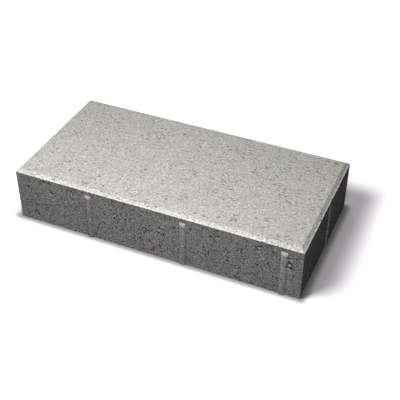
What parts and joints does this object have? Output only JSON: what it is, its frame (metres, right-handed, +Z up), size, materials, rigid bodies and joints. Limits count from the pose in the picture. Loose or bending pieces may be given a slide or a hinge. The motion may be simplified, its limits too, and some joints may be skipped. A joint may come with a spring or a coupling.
{
  "type": "concrete paving stone",
  "caption": "Flat rectangular paving stone of pressed concrete with a chamfered wearing face and upright spacer ribs on its sides that set the joint to the next stone.",
  "frame": {"origin": "middle of the bed face, on the ground", "axes": "+X along the stone's length, +Y across it, +Z up to the wearing face"},
  "size_m": [0.402, 0.202, 0.078],
  "materials": {
    "concrete": "matt grey pressed concrete, fine and sandy on the wearing face, darker and porous on the sides"
  },
  "bodies": {
    "root": {"paving_stone": "concrete"}
  },
  "joints": []
}
